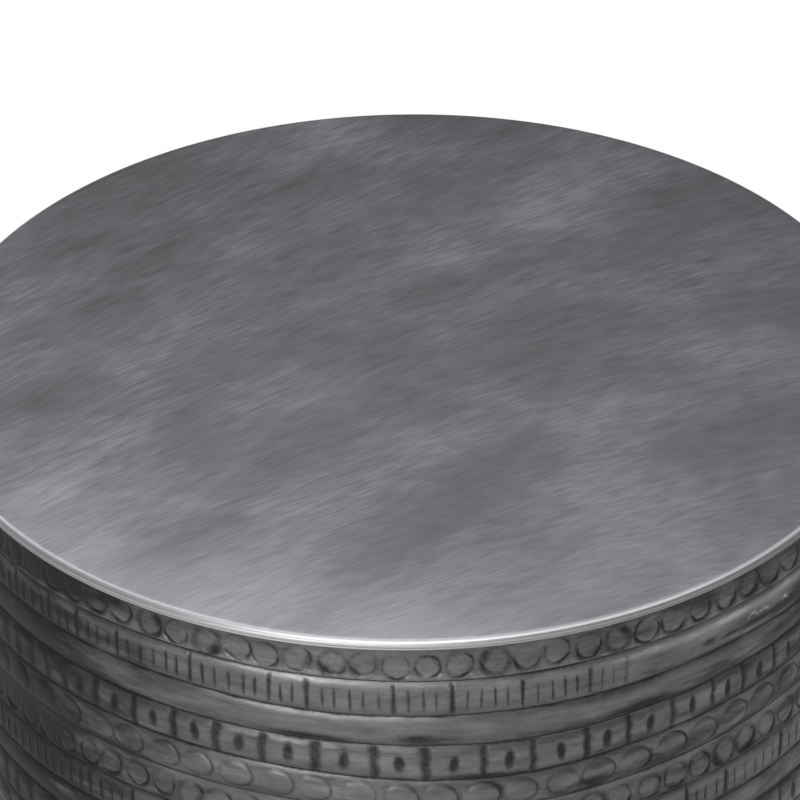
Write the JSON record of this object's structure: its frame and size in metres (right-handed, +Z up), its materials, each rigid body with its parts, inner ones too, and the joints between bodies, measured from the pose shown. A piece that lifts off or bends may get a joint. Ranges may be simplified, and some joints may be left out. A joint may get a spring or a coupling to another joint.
{
  "type": "drum side table",
  "caption": "Round hollow drum side table: flat brushed metal top folded over an upright metal wall beaded and chased in rows; stands on rubber feet.",
  "frame": {"origin": "on the floor plane, at the drum's axis, which is the centre of the bounding box's bottom", "axes": "+Z up along the drum's axis; -Y towards the front; +X to the right seen from the front"},
  "size_m": [0.4059, 0.406, 0.457],
  "materials": {
    "pewter_top": "satin hand-brushed sheet, antiqued with a cloudy dark patina",
    "pewter_wall": "satin chased sheet, dark patina left in creases and punch marks",
    "board": "raw fibreboard",
    "frame_steel": "thin satin black paint over mild steel",
    "plain_steel": "drawn wire, unpainted",
    "zinc_screw": "zinc plated",
    "rubber_foot": "matt black moulded rubber"
  },
  "bodies": {
    "root": {"top_sheet": "pewter_top", "drum_shell": "pewter_wall", "rim_wire": "plain_steel", "top_board": "board", "upper_ring": "frame_steel", "middle_hoop": "frame_steel", "lower_ring": "frame_steel", "brace_left_right": "frame_steel", "brace_front_back": "frame_steel", "ring_screws": "zinc_screw", "brace_screws": "zinc_screw", "foot_pad_back_right": "rubber_foot", "foot_pad_back_left": "rubber_foot", "foot_pad_front_left": "rubber_foot", "foot_pad_front_right": "rubber_foot", "foot_screws": "zinc_screw", "foot_washers": "zinc_screw", "foot_nuts": "zinc_screw"}
  },
  "joints": []
}
